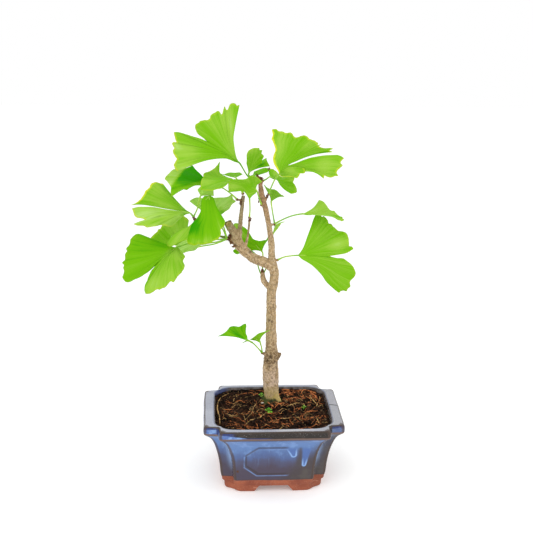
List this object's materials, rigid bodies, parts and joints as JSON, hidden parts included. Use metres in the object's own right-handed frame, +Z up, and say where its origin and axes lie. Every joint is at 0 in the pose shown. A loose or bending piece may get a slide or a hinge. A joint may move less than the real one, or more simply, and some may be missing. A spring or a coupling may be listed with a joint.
{
  "type": "ginkgo bonsai",
  "caption": "Young ginkgo bonsai with a forked trunk and fan-shaped leaves, in a blue glazed rectangular pot with stepped-in corners and soil.",
  "frame": {"origin": "under the middle of the whole plant's bounding box, at the level the pot's feet stand on", "axes": "+Z up, X along the pot's long side, -Y towards the pot's front"},
  "size_m": [0.2448, 0.1388, 0.4061],
  "materials": {
    "glaze": "glossy",
    "net": "matte",
    "soil": "matte",
    "bark": "matte",
    "leaf": "satin",
    "seedling": "satin"
  },
  "bodies": {
    "root": {"pot": "glaze", "drain_net_left": "net", "drain_net_right": "net", "soil": "soil", "trunk": "bark", "leaves_apex": "leaf", "leaf_gold": "leaf", "leaf_front": "leaf", "leaves_right": "leaf", "leaf_broad": "leaf", "leaf_hood": "leaf", "leaves_grey_twig": "leaf", "leaf_lamp": "leaf", "leaves_left": "leaf", "leaves_hidden_twig": "leaf", "leaves_stub": "leaf", "leaves_sprout": "leaf", "seedling_1": "seedling", "seedling_2": "seedling", "seedling_3": "seedling"}
  },
  "joints": []
}
